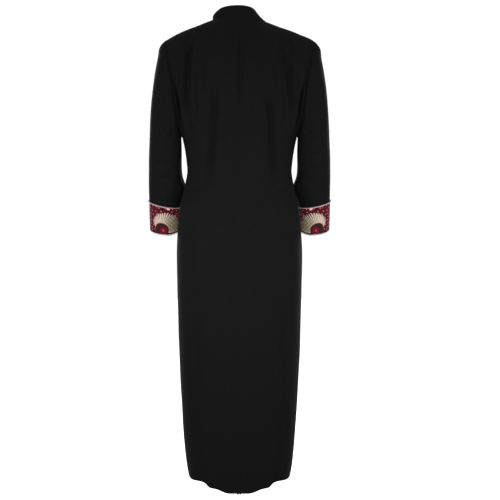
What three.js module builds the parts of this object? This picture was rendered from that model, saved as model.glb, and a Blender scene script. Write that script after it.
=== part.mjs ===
import * as THREE from "three";

// A black abaya standing open as it is worn: two back panels, two front panels, set-in sleeves, deep cuffs
// edged with piping, and a low stand collar. Lengths are millimetres. The origin is midway between the two
// shoulder points at the neck; X runs to the wearer's left, -Y to the wearer's front and Z up.

// Cloth and seams
const bodyWall = 1.6;
const cuffWall = 2.0;
const collarWall = 2.0;
const seamGap = 0.3;
const pipingRadius = 1.5;
const pipingSides = 6;

// Neck and shoulder
const neckHalfWidth = 76;
const neckPointY = -6;
const neckPointZ = 1;
const neckBackY = 52;
const neckBackZ = -1;
const neckFrontY = -72;
const neckFrontZ = -60;
const shoulderRise = { left: 3.4, right: -3 };
const collarFrontGap = 3;
const collarHeight = 35;
const collarSeam = 0.6;
const shoulderSeamBackward = 3;
const frontNeckDip = 1.2;

// The cloth's way over the shoulder: how steeply it leaves the neck behind and before and how steeply the
// shoulder's end, how level it leaves the neck, and how far the blade and the seam pull the curve
const yoke = {
  steepBehind: 0.85,
  steepBefore: 0.75,
  steepAtEnd: 0.14,
  levelAtNeck: 0.5,
  bladePull: 0.5,
  seamPull: 0.58,
};

// Grid of a panel: columns from the centre to the neck point, then on to the side or the armhole
const neckColumns = 4;
const shoulderColumns = 10;
const panelColumns = neckColumns + shoulderColumns;
const yokeRows = 7;
const neckAngle = 24;

// Folds fade out over these columns and rows at the edges of a piece, and rise a little beside their troughs
const foldFadeColumns = 3;
const foldFadeRows = 2;
const foldRidge = 0.5;

// Level sections of the body, from the hem to the underarm: half width, and depth behind and before
const bodySections = [
  { z: -1288, half: 143, back: 127, front: 116, round: 2.2 },
  { z: -1262, half: 149, back: 128, front: 116, round: 2.2 },
  { z: -1215, half: 154, back: 129, front: 116, round: 2.2 },
  { z: -1150, half: 160, back: 130, front: 116, round: 2.2 },
  { z: -1080, half: 164, back: 130, front: 115, round: 2.2 },
  { z: -1010, half: 168, back: 130, front: 115, round: 2.2 },
  { z: -940, half: 170.5, back: 130, front: 114, round: 2.2 },
  { z: -870, half: 173.5, back: 130, front: 114, round: 2.2 },
  { z: -800, half: 175.5, back: 131, front: 113, round: 2.2 },
  { z: -735, half: 177, back: 132, front: 113, round: 2.2 },
  { z: -680, half: 178, back: 132, front: 113, round: 2.2 },
  { z: -635, half: 177.5, back: 131, front: 112, round: 2.2 },
  { z: -595, half: 175, back: 128, front: 111, round: 2.2 },
  { z: -558, half: 171.5, back: 122, front: 109, round: 2.2 },
  { z: -524, half: 167, back: 114, front: 106, round: 2.2 },
  { z: -492, half: 159.5, back: 105, front: 103, round: 2.2 },
  { z: -465, half: 154, back: 98, front: 100, round: 2.2 },
  { z: -446, half: 150.5, back: 94, front: 98, round: 2.2 },
  { z: -428, half: 147.4, back: 91.5, front: 98, round: 2.2 },
  { z: -409, half: 149.3, back: 91, front: 98.5, round: 2.2 },
  { z: -388, half: 151.6, back: 92, front: 101, round: 2.25 },
  { z: -362, half: 155.3, back: 94, front: 105, round: 2.3 },
  { z: -340, half: 160, back: 97, front: 110, round: 2.35 },
];

// Sections beside the armhole, from the underarm to the blade: the armhole's point behind and before
const armholeRound = 2.3;
const armholeSections = [
  { z: -329, edge: 163.2, back: 98, front: 112, edgeBack: 0, edgeFront: 0, sweep: 90 },
  { z: -319, edge: 165.5, back: 99, front: 113, edgeBack: 20, edgeFront: -21, sweep: 80 },
  { z: -300, edge: 168.5, back: 101, front: 116, edgeBack: 34, edgeFront: -36, sweep: 73 },
  { z: -272, edge: 171.5, back: 104, front: 118, edgeBack: 43, edgeFront: -46, sweep: 67 },
  { z: -240, edge: 176, back: 106, front: 119, edgeBack: 48, edgeFront: -52, sweep: 62 },
  { z: -205, edge: 182, back: 108, front: 118, edgeBack: 51, edgeFront: -55, sweep: 58 },
  { z: -165, edge: 191, back: 108, front: 114, edgeBack: 52, edgeFront: -54, sweep: 55 },
];

// Shoulder seam from the neck point out to the armhole
const shoulderSeam = [
  { x: 76, z: 1 },
  { x: 98, z: -7.5 },
  { x: 122.5, z: -16.5 },
  { x: 144, z: -24.5 },
  { x: 165, z: -33 },
  { x: 184.5, z: -41.5 },
  { x: 201, z: -50 },
  { x: 212.5, z: -57 },
];

// The hem hangs lower at the centre back, with a step where the skirt folds
const hemDropBack = [
  { x: 0, drop: 25 },
  { x: 33, drop: 26 },
  { x: 46, drop: 21 },
  { x: 62, drop: 14 },
  { x: 90, drop: 13.5 },
  { x: 99, drop: 9 },
  { x: 106, drop: 0 },
  { x: 143, drop: 0 },
];
const hemDropFront = [
  { x: 0, drop: 6 },
  { x: 80, drop: 4 },
  { x: 143, drop: 0 },
];
const hemDropFadesAt = -1010;

// Folds of the back: each row is a point on a fold's path, with its depth and its spread
const foldsBackLeft = [
  {
    path: [
      { x: 128, z: -36, depth: 1.5, spread: 11 },
      { x: 140, z: -75, depth: 6, spread: 12 },
      { x: 147, z: -125, depth: 8.5, spread: 13 },
      { x: 149, z: -190, depth: 8.5, spread: 13 },
      { x: 144, z: -260, depth: 6, spread: 14 },
      { x: 136, z: -330, depth: 2, spread: 15 },
      { x: 134, z: -370, depth: 0, spread: 15 },
    ],
  },
  {
    path: [
      { x: 77, z: -160, depth: 0, spread: 13 },
      { x: 79, z: -205, depth: 4, spread: 14 },
      { x: 81, z: -265, depth: 7.5, spread: 15 },
      { x: 81, z: -350, depth: 8.5, spread: 15 },
      { x: 91, z: -420, depth: 7.5, spread: 15 },
      { x: 98, z: -475, depth: 4, spread: 15 },
      { x: 104, z: -520, depth: 0, spread: 15 },
    ],
  },
  {
    path: [
      { x: 121, z: -740, depth: 0, spread: 15 },
      { x: 121, z: -860, depth: 3, spread: 15 },
      { x: 119, z: -1010, depth: 4.5, spread: 14 },
      { x: 116, z: -1120, depth: 6.5, spread: 13 },
      { x: 104, z: -1220, depth: 10, spread: 13 },
      { x: 98, z: -1310, depth: 13, spread: 12 },
    ],
  },
];
const foldsBackRight = [
  {
    path: [
      { x: 98, z: -24, depth: 1.5, spread: 12 },
      { x: 138, z: -74, depth: 5.5, spread: 12 },
      { x: 141, z: -150, depth: 8.5, spread: 13 },
      { x: 144, z: -212, depth: 7.5, spread: 13 },
      { x: 140, z: -270, depth: 4, spread: 14 },
      { x: 135, z: -320, depth: 0, spread: 15 },
    ],
  },
  {
    path: [
      { x: 75, z: -170, depth: 0, spread: 13 },
      { x: 80, z: -215, depth: 4.5, spread: 14 },
      { x: 84, z: -265, depth: 7.5, spread: 15 },
      { x: 84, z: -350, depth: 8, spread: 15 },
      { x: 93, z: -425, depth: 7, spread: 15 },
      { x: 101, z: -480, depth: 4, spread: 15 },
      { x: 106, z: -525, depth: 0, spread: 15 },
    ],
  },
  {
    path: [
      { x: 124, z: -720, depth: 0, spread: 15 },
      { x: 124, z: -860, depth: 3, spread: 15 },
      { x: 124, z: -1010, depth: 4.5, spread: 14 },
      { x: 113, z: -1130, depth: 6.5, spread: 13 },
      { x: 108, z: -1215, depth: 10, spread: 13 },
      { x: 98, z: -1310, depth: 13, spread: 12 },
    ],
  },
];
const foldsCentreBack = [
  {
    path: [
      { x: 0, z: -8, depth: 1, spread: 13 },
      { x: 0, z: -40, depth: 4.5, spread: 14 },
      { x: 0, z: -110, depth: 6.5, spread: 15 },
      { x: 0, z: -190, depth: 5.5, spread: 16 },
      { x: 0, z: -270, depth: 3, spread: 17 },
      { x: 0, z: -400, depth: 1.5, spread: 18 },
      { x: 0, z: -480, depth: 0, spread: 18 },
    ],
  },
];

// Folds of the front, which hangs in the same way
const foldsFrontLeft = [
  {
    path: [
      { x: 128, z: -40, depth: 1.5, spread: 12 },
      { x: 140, z: -90, depth: 5, spread: 13 },
      { x: 146, z: -160, depth: 7, spread: 14 },
      { x: 142, z: -240, depth: 5, spread: 14 },
      { x: 134, z: -310, depth: 0, spread: 15 },
    ],
  },
  {
    path: [
      { x: 84, z: -250, depth: 0, spread: 14 },
      { x: 82, z: -320, depth: 5.5, spread: 15 },
      { x: 84, z: -410, depth: 7.5, spread: 15 },
      { x: 94, z: -480, depth: 4, spread: 15 },
      { x: 102, z: -540, depth: 0, spread: 15 },
    ],
  },
  {
    path: [
      { x: 100, z: -760, depth: 0, spread: 16 },
      { x: 102, z: -900, depth: 3.5, spread: 16 },
      { x: 100, z: -1100, depth: 6, spread: 15 },
      { x: 94, z: -1300, depth: 9, spread: 14 },
    ],
  },
];
const foldsFrontRight = [
  {
    path: [
      { x: 120, z: -34, depth: 1.5, spread: 12 },
      { x: 136, z: -90, depth: 5, spread: 13 },
      { x: 143, z: -165, depth: 6.5, spread: 14 },
      { x: 140, z: -250, depth: 4, spread: 14 },
      { x: 133, z: -305, depth: 0, spread: 15 },
    ],
  },
  {
    path: [
      { x: 82, z: -260, depth: 0, spread: 14 },
      { x: 80, z: -330, depth: 5, spread: 15 },
      { x: 86, z: -415, depth: 7.5, spread: 15 },
      { x: 97, z: -485, depth: 4, spread: 15 },
      { x: 104, z: -545, depth: 0, spread: 15 },
    ],
  },
  {
    path: [
      { x: 106, z: -780, depth: 0, spread: 16 },
      { x: 107, z: -930, depth: 3.5, spread: 16 },
      { x: 103, z: -1110, depth: 6, spread: 15 },
      { x: 97, z: -1300, depth: 9, spread: 14 },
    ],
  },
];

// Rings of the sleeve below the armhole: centre, half sizes, forward lean and the rise of the outer side
const sleeveRings = [
  { z: -345, x: 210.4, y: -2, half: 45.1, depth: 55, lean: 4, rise: 0 },
  { z: -370, x: 211.7, y: -7, half: 45.6, depth: 55, lean: 8, rise: 1 },
  { z: -397, x: 213, y: -15, half: 45.8, depth: 54, lean: 12, rise: 2 },
  { z: -422, x: 213.7, y: -25, half: 46.4, depth: 52, lean: 15, rise: 4 },
  { z: -441, x: 212.8, y: -32, half: 47.9, depth: 50, lean: 16, rise: 5 },
  { z: -458, x: 209.5, y: -38.5, half: 51.4, depth: 49, lean: 16, rise: 6 },
  { z: -478, x: 209.2, y: -45.5, half: 52, depth: 48, lean: 14, rise: 8 },
  { z: -496, x: 211.5, y: -51, half: 50, depth: 47, lean: 15, rise: 9.5 },
  { z: -514.3, x: 214.5, y: -56.5, half: 47.2, depth: 46, lean: 16.5, rise: 10.3 },
];
const cuffRings = [
  { z: -514.9, x: 214.5, y: -56.6, half: 47.4, depth: 46, lean: 16.5, rise: 10.3 },
  { z: -540.6, x: 214.6, y: -61.4, half: 47.2, depth: 46, lean: 17.5, rise: 8.6 },
  { z: -566, x: 214.4, y: -66.2, half: 47, depth: 46, lean: 18.5, rise: 6.8 },
  { z: -590.8, x: 213.8, y: -70.8, half: 46.6, depth: 46, lean: 19.5, rise: 5 },
];
const topCordDrop = 0.6;
const capRows = 6;
const capSpacing = 1.25;
const sleeveFlare = 0.22;

// How the sleeve leaves the armhole, from the underarm up to the shoulder point
const capShape = [
  { along: 0, outward: 0.35, downward: 0.94, leave: 6, arrive: 8 },
  { along: 0.25, outward: 0.62, downward: 0.78, leave: 14, arrive: 28 },
  { along: 0.5, outward: 0.8, downward: 0.6, leave: 24, arrive: 62 },
  { along: 0.8, outward: 0.9, downward: 0.44, leave: 26, arrive: 105 },
  { along: 1, outward: 0.9, downward: 0.44, leave: 24, arrive: 135 },
];

// Soft folds of the sleeve: direction round the ring, height, spread both ways and depth
const sleeveFolds = [
  { angle: 60, z: -300, wide: 22, tall: 26, depth: 2.6 },
  { angle: 115, z: -415, wide: 30, tall: 15, depth: 2.4 },
  { angle: 70, z: -448, wide: 26, tall: 12, depth: 2.2 },
  { angle: 250, z: -430, wide: 40, tall: 14, depth: 3 },
  { angle: 285, z: -390, wide: 34, tall: 13, depth: 2.4 },
  { angle: 265, z: -470, wide: 30, tall: 12, depth: 2 },
];

// The collar: offsets of its top edge from its base, in steps round the neck
const collarLean = { left: -12, right: -30, back: -5, front: 6 };
const collarCurve = { left: 1.3, right: 0.75 };
const collarRows = 4;

const degree = Math.PI / 180;
const clothBlack = new THREE.MeshStandardMaterial({ color: "#1b1b1c", roughness: 0.85, metalness: 0 });
const brocade = new THREE.MeshStandardMaterial({ color: "#63242d", roughness: 0.6, metalness: 0 });
const cord = new THREE.MeshStandardMaterial({ color: "#d9c3b4", roughness: 0.6, metalness: 0 });

// Value of one column of a table at a place along another column, with straight lines between the rows
function tableAt(rows, key, at, column) {
  const rising = rows[rows.length - 1][key] > rows[0][key];
  const ordered = rising ? rows : [...rows].reverse();
  if (at <= ordered[0][key]) return ordered[0][column];
  for (let i = 1; i < ordered.length; i += 1) {
    const below = ordered[i - 1];
    const above = ordered[i];
    if (at <= above[key]) {
      const part = (at - below[key]) / (above[key] - below[key]);
      return below[column] + (above[column] - below[column]) * part;
    }
  }
  return ordered[ordered.length - 1][column];
}

// Angle of a column round the body, from the centre line: close columns by the neck, wider ones beyond it
function columnAngle(column) {
  if (column <= neckColumns) return (column / neckColumns) * neckAngle;
  return neckAngle + ((column - neckColumns) / shoulderColumns) * (90 - neckAngle);
}

// Point of a rounded section: the share of its half width and of its depth at an angle from the centre
function roundedShare(angle, round) {
  const across = Math.pow(Math.abs(Math.sin(angle * degree)), 2 / round);
  const deep = Math.pow(Math.abs(Math.cos(angle * degree)), 2 / round);
  return { across, deep };
}

// Point of a level section at a column; face is 1 behind and -1 before
function sectionPoint(section, column, face) {
  const share = columnAngle(column) / 90;
  if (section.half) {
    const part = roundedShare(share * 90, section.round);
    const depth = face > 0 ? section.back : section.front;
    return new THREE.Vector3(section.half * part.across, face * depth * part.deep, section.z);
  }
  const part = roundedShare(share * section.sweep, armholeRound);
  const end = roundedShare(section.sweep, armholeRound);
  const depth = face > 0 ? section.back : section.front;
  const edge = Math.abs(face > 0 ? section.edgeBack : section.edgeFront);
  const deep = (part.deep - end.deep) / (1 - end.deep);
  const across = part.across / end.across;
  return new THREE.Vector3(section.edge * across, face * (edge + (depth - edge) * deep), section.z);
}

// Point of the neckline or the shoulder seam at a column, before the right side is mirrored
function topPoint(column, face, side) {
  const rise = side > 0 ? shoulderRise.left : shoulderRise.right;
  if (column <= neckColumns) {
    const angle = (column / neckColumns) * 90 * degree;
    const centreY = face > 0 ? neckBackY : neckFrontY;
    const centreZ = face > 0 ? neckBackZ : neckFrontZ;
    const near = Math.pow(Math.cos(angle), face > 0 ? 1 : frontNeckDip);
    const y = neckPointY + (centreY - neckPointY) * Math.cos(angle);
    const z = neckPointZ + rise + (centreZ - neckPointZ - rise) * near;
    return new THREE.Vector3(neckHalfWidth * Math.sin(angle), y, z);
  }
  const part = (column - neckColumns) / shoulderColumns;
  const last = shoulderSeam[shoulderSeam.length - 1].x;
  const x = neckHalfWidth + (last - neckHalfWidth) * part;
  const z = tableAt(shoulderSeam, "x", x, "z") + rise * (1 - part * part);
  return new THREE.Vector3(x, neckPointY + shoulderSeamBackward * part, z);
}

// Point of the curve over the shoulder, from the blade to the seam
function yokePoint(blade, below, top, column, face, part) {
  const rise = new THREE.Vector3().subVectors(blade, below).normalize();
  const outwards = Math.min(1, column / neckColumns);
  const steep = face > 0 ? yoke.steepBehind : yoke.steepBefore;
  const level = yoke.levelAtNeck + (1 - yoke.levelAtNeck) * outwards;
  const drop = steep + (yoke.steepAtEnd - steep) * outwards;
  const away = new THREE.Vector3(0, face * level, -drop).normalize();
  const depth = Math.abs(blade.y - top.y);
  const height = Math.abs(top.z - blade.z);
  const first = blade.clone().addScaledVector(rise, height * yoke.bladePull);
  const second = top.clone().addScaledVector(away, depth * yoke.seamPull);
  return new THREE.CubicBezierCurve3(blade, first, second, top).getPoint(part);
}

// Level rows of the body and the rows over the shoulder, as points before any fold
function smoothPanel(face, side) {
  const sections = [...bodySections, ...armholeSections];
  const rows = sections.map((section) => {
    const row = [];
    for (let column = 0; column <= panelColumns; column += 1) {
      const point = sectionPoint(section, column, face);
      const table = face > 0 ? hemDropBack : hemDropFront;
      const bottom = bodySections[0].z;
      const fade = Math.min(1, Math.max(0, (hemDropFadesAt - section.z) / (hemDropFadesAt - bottom)));
      point.z -= tableAt(table, "x", point.x, "drop") * fade * fade;
      row.push(point);
    }
    return row;
  });
  const blade = rows[rows.length - 1];
  const below = rows[rows.length - 2];
  for (let step = 1; step <= yokeRows; step += 1) {
    const row = [];
    for (let column = 0; column <= panelColumns; column += 1) {
      const top = topPoint(column, face, side);
      row.push(yokePoint(blade[column], below[column], top, column, face, step / yokeRows));
    }
    rows.push(row);
  }
  return rows;
}

// Outward normal of each point of a grid; face tells which way the columns run
function gridNormals(rows, face) {
  return rows.map((row, r) =>
    row.map((point, c) => {
      const up = rows[Math.min(r + 1, rows.length - 1)][c].clone().sub(rows[Math.max(r - 1, 0)][c]);
      const along = row[Math.min(c + 1, row.length - 1)].clone().sub(row[Math.max(c - 1, 0)]);
      return along.cross(up).multiplyScalar(-face).normalize();
    }),
  );
}

// A bell curve, 1 in the middle
function bell(away) {
  return Math.exp(-0.5 * away * away);
}

// Depth of a set of folds at a place seen from behind or before
function foldDepth(folds, x, z) {
  let depth = 0;
  for (const fold of folds) {
    const path = fold.path;
    if (z > path[0].z || z < path[path.length - 1].z) continue;
    const centre = tableAt(path, "z", z, "x");
    const spread = tableAt(path, "z", z, "spread");
    const most = tableAt(path, "z", z, "depth");
    const away = (x - centre) / spread;
    depth += most * (1 - foldRidge * away * away) * bell(away);
  }
  return depth;
}

// Share of a fold that is left near the side seam or the armhole
function edgeShare(column) {
  const left = panelColumns - column;
  return Math.min(1, left / foldFadeColumns);
}

// A folded panel on the left or the right, and its normals; side is 1 on the left
function foldedPanel(side, face, folds) {
  const rows = smoothPanel(face, side);
  const normals = gridNormals(rows, face);
  normals.forEach((row) => row[0].setX(0).normalize());
  rows.forEach((row, r) =>
    row.forEach((point, c) => {
      const topShare = Math.min(1, (rows.length - 1 - r) / foldFadeRows);
      const depth = foldDepth(folds, point.x, point.z) * edgeShare(c) * topShare;
      point.addScaledVector(normals[r][c], -depth);
    }),
  );
  const after = gridNormals(rows, face);
  after.forEach((row) => row[0].setX(0).normalize());
  for (const row of [...rows, ...after]) for (const point of row) point.x *= side;
  return { rows, normals: after, side, face };
}

// Points that both panels of a side share get one normal, so that their edges stay parallel
function shareEdgeNormals(back, front) {
  const last = panelColumns;
  const top = back.rows.length - 1;
  const pairs = back.rows.map((row, r) => [r, last]);
  for (let column = neckColumns; column < last; column += 1) pairs.push([top, column]);
  for (const [r, c] of pairs) {
    if (r > bodySections.length && r < top) continue;
    const middle = back.normals[r][c].clone().add(front.normals[r][c]).normalize();
    back.normals[r][c].copy(middle);
    front.normals[r][c].copy(middle);
  }
}

// The front's copy of the two corners that it shares with the back at the armhole
function copyCornerNormals(back, front) {
  for (const r of [bodySections.length, back.rows.length - 1]) {
    front.normals[r][panelColumns].copy(back.normals[r][panelColumns]);
  }
}

// Moves the edges of a panel half a seam gap away from their neighbours
function openSeams(panel) {
  const { rows, side, face } = panel;
  const half = seamGap / 2;
  const top = rows.length - 1;
  for (const row of rows) row[0].x += side * half;
  for (let r = 0; r <= bodySections.length; r += 1) rows[r][panelColumns].y += face * half;
  for (let c = neckColumns; c <= panelColumns; c += 1) rows[top][c].y += face * half;
}

// Closed mesh of a sheet: outer points, inner points a wall's thickness in, and its edges
function sheetMesh(name, rows, normals, wall, material, flip, closed) {
  const positions = [];
  const index = [];
  const columns = rows[0].length;
  const count = rows.length * columns;
  for (const row of rows) for (const point of row) positions.push(point.x, point.y, point.z);
  rows.forEach((row, r) =>
    row.forEach((point, c) => {
      const inner = point.clone().addScaledVector(normals[r][c], -wall);
      positions.push(inner.x, inner.y, inner.z);
    }),
  );
  const quad = (a, b, c, d) => {
    if (flip) index.push(a, c, b, a, d, c);
    else index.push(a, b, c, a, c, d);
  };
  const spans = closed ? columns : columns - 1;
  for (let r = 0; r < rows.length - 1; r += 1) {
    for (let c = 0; c < spans; c += 1) {
      const next = (c + 1) % columns;
      const a = r * columns + c;
      const b = r * columns + next;
      const d = (r + 1) * columns + next;
      const e = (r + 1) * columns + c;
      quad(a, b, d, e);
      quad(count + a, count + e, count + d, count + b);
    }
    if (!closed) {
      const a = r * columns;
      const e = (r + 1) * columns;
      quad(a, e, count + e, count + a);
      const f = a + columns - 1;
      const g = e + columns - 1;
      quad(f, count + f, count + g, g);
    }
  }
  for (let c = 0; c < spans; c += 1) {
    const next = (c + 1) % columns;
    quad(c, count + c, count + next, next);
    const a = (rows.length - 1) * columns + c;
    const b = (rows.length - 1) * columns + next;
    quad(a, b, count + b, count + a);
  }
  const geometry = new THREE.BufferGeometry();
  geometry.setAttribute("position", new THREE.Float32BufferAttribute(positions, 3));
  geometry.setIndex(index);
  geometry.computeVertexNormals();
  const mesh = new THREE.Mesh(geometry, material);
  mesh.name = name;
  return mesh;
}

// A point of a panel's armhole edge, its normal and the next point inside the panel
function armholePoint(panel, r) {
  const row = panel.rows[r];
  return {
    point: row[panelColumns].clone(),
    normal: panel.normals[r][panelColumns],
    inside: row[panelColumns - 1].clone(),
  };
}

// Points of the armhole from the underarm up the back, over the shoulder point and down the front
function armholeLoop(back, front) {
  const first = bodySections.length;
  const top = back.rows.length - 1;
  const loop = [];
  for (let r = first; r <= top; r += 1) {
    loop.push(armholePoint(back, r));
  }
  for (let r = top - 1; r > first; r -= 1) {
    loop.push(armholePoint(front, r));
  }
  return loop;
}

// Share of the way from the underarm to the shoulder point for each point of the armhole loop
function armholeShares(loop) {
  const tip = loop.reduce((best, item, i) => (item.point.z > loop[best].point.z ? i : best), 0);
  const lengths = [0];
  for (let i = 1; i <= loop.length; i += 1) {
    const step = loop[i % loop.length].point.distanceTo(loop[i - 1].point);
    lengths.push(lengths[i - 1] + step);
  }
  const total = lengths[loop.length];
  return loop.map((item, i) => {
    if (i <= tip) return lengths[i] / lengths[tip];
    return 2 - (total - lengths[i]) / (total - lengths[tip]);
  });
}

// Point of a sleeve ring: turn 0 is the inner side, 1 the outer side, going round by the back
function ringPoint(ring, turn, side) {
  const angle = turn * Math.PI;
  const across = -ring.half * Math.cos(angle);
  const deep = ring.depth * Math.sin(angle);
  const lean = ring.lean * degree;
  const rise = ring.rise * degree;
  const x = ring.x + across * Math.cos(rise);
  const y = ring.y + deep * Math.cos(lean);
  const z = ring.z - deep * Math.sin(lean) + across * Math.sin(rise);
  return new THREE.Vector3(side * x, y, z);
}

// Difference of two directions round a ring, from -180 to 180 degrees
function angleBetween(angle, from) {
  return THREE.MathUtils.euclideanModulo(angle - from + 180, 360) - 180;
}

// Depth of the sleeve's folds at a turn and a height
function sleeveFoldDepth(turn, z) {
  let depth = 0;
  for (const fold of sleeveFolds) {
    const wide = angleBetween(turn * 180, fold.angle) / fold.wide;
    const tall = (z - fold.z) / fold.tall;
    depth += fold.depth * bell(wide) * bell(tall);
  }
  return depth;
}

// Direction in which the sleeve leaves the armhole at a share of the way up
function leaving(share, side, face) {
  const outward = tableAt(capShape, "along", share, "outward");
  const downward = tableAt(capShape, "along", share, "downward");
  const spread = sleeveFlare * Math.sin(share * Math.PI) * face;
  return new THREE.Vector3(side * outward, spread, -downward).normalize();
}

// Rows of the sleeve from the armhole to its end, and their normals
function sleeveGrid(side, back, front) {
  const loop = armholeLoop(back, front);
  const turns = armholeShares(loop);
  const curves = loop.map((item, i) => {
    const share = turns[i] <= 1 ? turns[i] : 2 - turns[i];
    const out = leaving(share, side, turns[i] <= 1 ? 1 : -1);
    const end = ringPoint(sleeveRings[0], turns[i], side);
    const first = item.point.clone().addScaledVector(out, tableAt(capShape, "along", share, "leave"));
    const second = end.clone().setZ(end.z + tableAt(capShape, "along", share, "arrive"));
    return new THREE.CubicBezierCurve3(item.point.clone(), first, second, end);
  });
  const rows = [];
  for (let step = 0; step <= capRows; step += 1) {
    rows.push(curves.map((curve) => curve.getPoint(Math.pow(step / capRows, capSpacing))));
  }
  for (const lower of sleeveRings.slice(1)) rows.push(turns.map((turn) => ringPoint(lower, turn, side)));
  const before = ringNormals(rows, side);
  const last = rows.length - 1;
  rows.forEach((row, r) =>
    row.forEach((point, c) => {
      const share = Math.min(1, r / foldFadeRows, (last - r) / foldFadeRows);
      point.addScaledVector(before[r][c], -sleeveFoldDepth(turns[c], point.z) * share);
    }),
  );
  const normals = ringNormals(rows, side);
  openArmhole(loop, rows, normals);
  return { rows, normals, turns };
}

// Gives the armhole edges of the body and the sleeve one normal, and moves the sleeve a seam gap away
function openArmhole(loop, rows, normals) {
  const count = loop.length;
  loop.forEach((item, i) => {
    item.normal.add(normals[0][i]).normalize();
    normals[0][i].copy(item.normal);
  });
  const moved = loop.map((item, i) => {
    const along = loop[(i + 1) % count].point.clone().sub(loop[(i + count - 1) % count].point);
    const away = along.cross(item.normal).normalize();
    const onward = item.point.clone().sub(item.inside).normalize();
    onward.add(rows[1][i].clone().sub(item.point).normalize());
    if (away.dot(onward) < 0) away.negate();
    return item.point.clone().addScaledVector(away, seamGap);
  });
  moved.forEach((point, i) => rows[0][i].copy(point));
}

// Outward normals of rows that close on themselves
function ringNormals(rows, side) {
  return rows.map((row, r) =>
    row.map((point, c) => {
      const count = row.length;
      const up = rows[Math.max(r - 1, 0)][c].clone().sub(rows[Math.min(r + 1, rows.length - 1)][c]);
      const along = row[(c + 1) % count].clone().sub(row[(c + count - 1) % count]);
      return up.cross(along).multiplyScalar(side).normalize();
    }),
  );
}

// A cord round a sleeve: a small ring of sides swept along the points
function pipingMesh(name, centres, away, down, material, side) {
  const rows = centres.map((centre, i) => {
    const row = [];
    for (let s = 0; s < pipingSides; s += 1) {
      const angle = (s / pipingSides) * 2 * Math.PI;
      const point = centre.clone();
      point.addScaledVector(away[i], pipingRadius * Math.cos(angle));
      point.addScaledVector(down, pipingRadius * Math.sin(angle));
      row.push(point);
    }
    return row;
  });
  const positions = [];
  const index = [];
  for (const row of rows) for (const point of row) positions.push(point.x, point.y, point.z);
  rows.forEach((row, r) => {
    const nextRow = (r + 1) % rows.length;
    for (let s = 0; s < pipingSides; s += 1) {
      const next = (s + 1) % pipingSides;
      const a = r * pipingSides + s;
      const b = r * pipingSides + next;
      const c = nextRow * pipingSides + next;
      const d = nextRow * pipingSides + s;
      if (side > 0) index.push(a, c, b, a, d, c);
      else index.push(a, b, c, a, c, d);
    }
  });
  const geometry = new THREE.BufferGeometry();
  geometry.setAttribute("position", new THREE.Float32BufferAttribute(positions, 3));
  geometry.setIndex(index);
  geometry.computeVertexNormals();
  const mesh = new THREE.Mesh(geometry, material);
  mesh.name = name;
  return mesh;
}

// The direction down a sleeve at one of its rings
function ringDown(ring, side) {
  const lean = ring.lean * degree;
  const rise = ring.rise * degree;
  const deep = new THREE.Vector3(0, Math.cos(lean), -Math.sin(lean));
  const across = new THREE.Vector3(side * Math.cos(rise), 0, Math.sin(rise));
  const down = deep.cross(across).normalize();
  if (down.z > 0) down.negate();
  return down;
}

// Cuff, and the cords at its top and bottom
function cuffPieces(side, word, turns) {
  const rows = cuffRings.map((ring) => turns.map((turn) => ringPoint(ring, turn, side)));
  const normals = ringNormals(rows, side);
  const cuff = sheetMesh("cuff_" + word, rows, normals, cuffWall, brocade, side < 0, true);
  const topDown = ringDown(cuffRings[0], side);
  const reach = pipingRadius + seamGap;
  const top = rows[0].map((point, i) =>
    point.clone().addScaledVector(normals[0][i], reach).addScaledVector(topDown, topCordDrop),
  );
  const topCord = pipingMesh("cuff_piping_top_" + word, top, normals[0], topDown, cord, side);
  const lastRing = cuffRings[cuffRings.length - 1];
  const lastRow = rows[rows.length - 1];
  const lastNormals = normals[normals.length - 1];
  const lastDown = ringDown(lastRing, side);
  const bottom = lastRow.map((point, i) =>
    point.clone().addScaledVector(lastNormals[i], -cuffWall / 2).addScaledVector(lastDown, reach),
  );
  const bottomCord = pipingMesh("cuff_piping_bottom_" + word, bottom, lastNormals, lastDown, cord, side);
  return [cuff, topCord, bottomCord];
}

// Neckline of the collar from the left front round the back to the right front
function neckLoop() {
  const quarter = (side, face) => {
    const list = [];
    for (let column = 0; column <= neckColumns; column += 1) {
      const point = topPoint(column, face, side);
      point.x *= side;
      list.push(point);
    }
    return list;
  };
  const left = [...quarter(1, -1), ...quarter(1, 1).reverse().slice(1)];
  const right = [...quarter(-1, 1).slice(1), ...quarter(-1, -1).reverse().slice(1)];
  return [...left, ...right];
}

// Stand collar: it starts inside the neckline and leans in as it rises
function collarPiece() {
  const loop = neckLoop();
  const last = loop.length - 1;
  const outward = loop.map((point, i) => {
    const along = loop[Math.min(i + 1, last)].clone().sub(loop[Math.max(i - 1, 0)]);
    const flat = new THREE.Vector3(along.y, -along.x, 0).normalize();
    return flat.dot(new THREE.Vector3(point.x, point.y - neckPointY, 0)) < 0 ? flat.negate() : flat;
  });
  const rows = [];
  for (let step = 0; step <= collarRows; step += 1) {
    const part = step / collarRows;
    rows.push(
      loop.map((point, i) => {
        const x = point.x / neckHalfWidth;
        const hand = x > 0 ? "left" : "right";
        const sideLean = collarLean[hand] * Math.abs(x);
        const depthShare = Math.sqrt(Math.max(0, 1 - x * x));
        const faceLean = point.y > neckPointY ? collarLean.back * depthShare : collarLean.front * depthShare;
        const moved = point.clone();
        if (i === 0) moved.x = collarFrontGap / 2;
        if (i === last) moved.x = -collarFrontGap / 2;
        moved.x += Math.sign(x) * sideLean * Math.pow(part, collarCurve[hand]);
        moved.y += faceLean * part;
        moved.z += collarSeam + (collarHeight - collarSeam) * part;
        return moved;
      }),
    );
  }
  const normals = rows.map(() => outward.map((direction) => direction.clone()));
  return sheetMesh("collar", rows, normals, collarWall, clothBlack, false, false);
}

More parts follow.
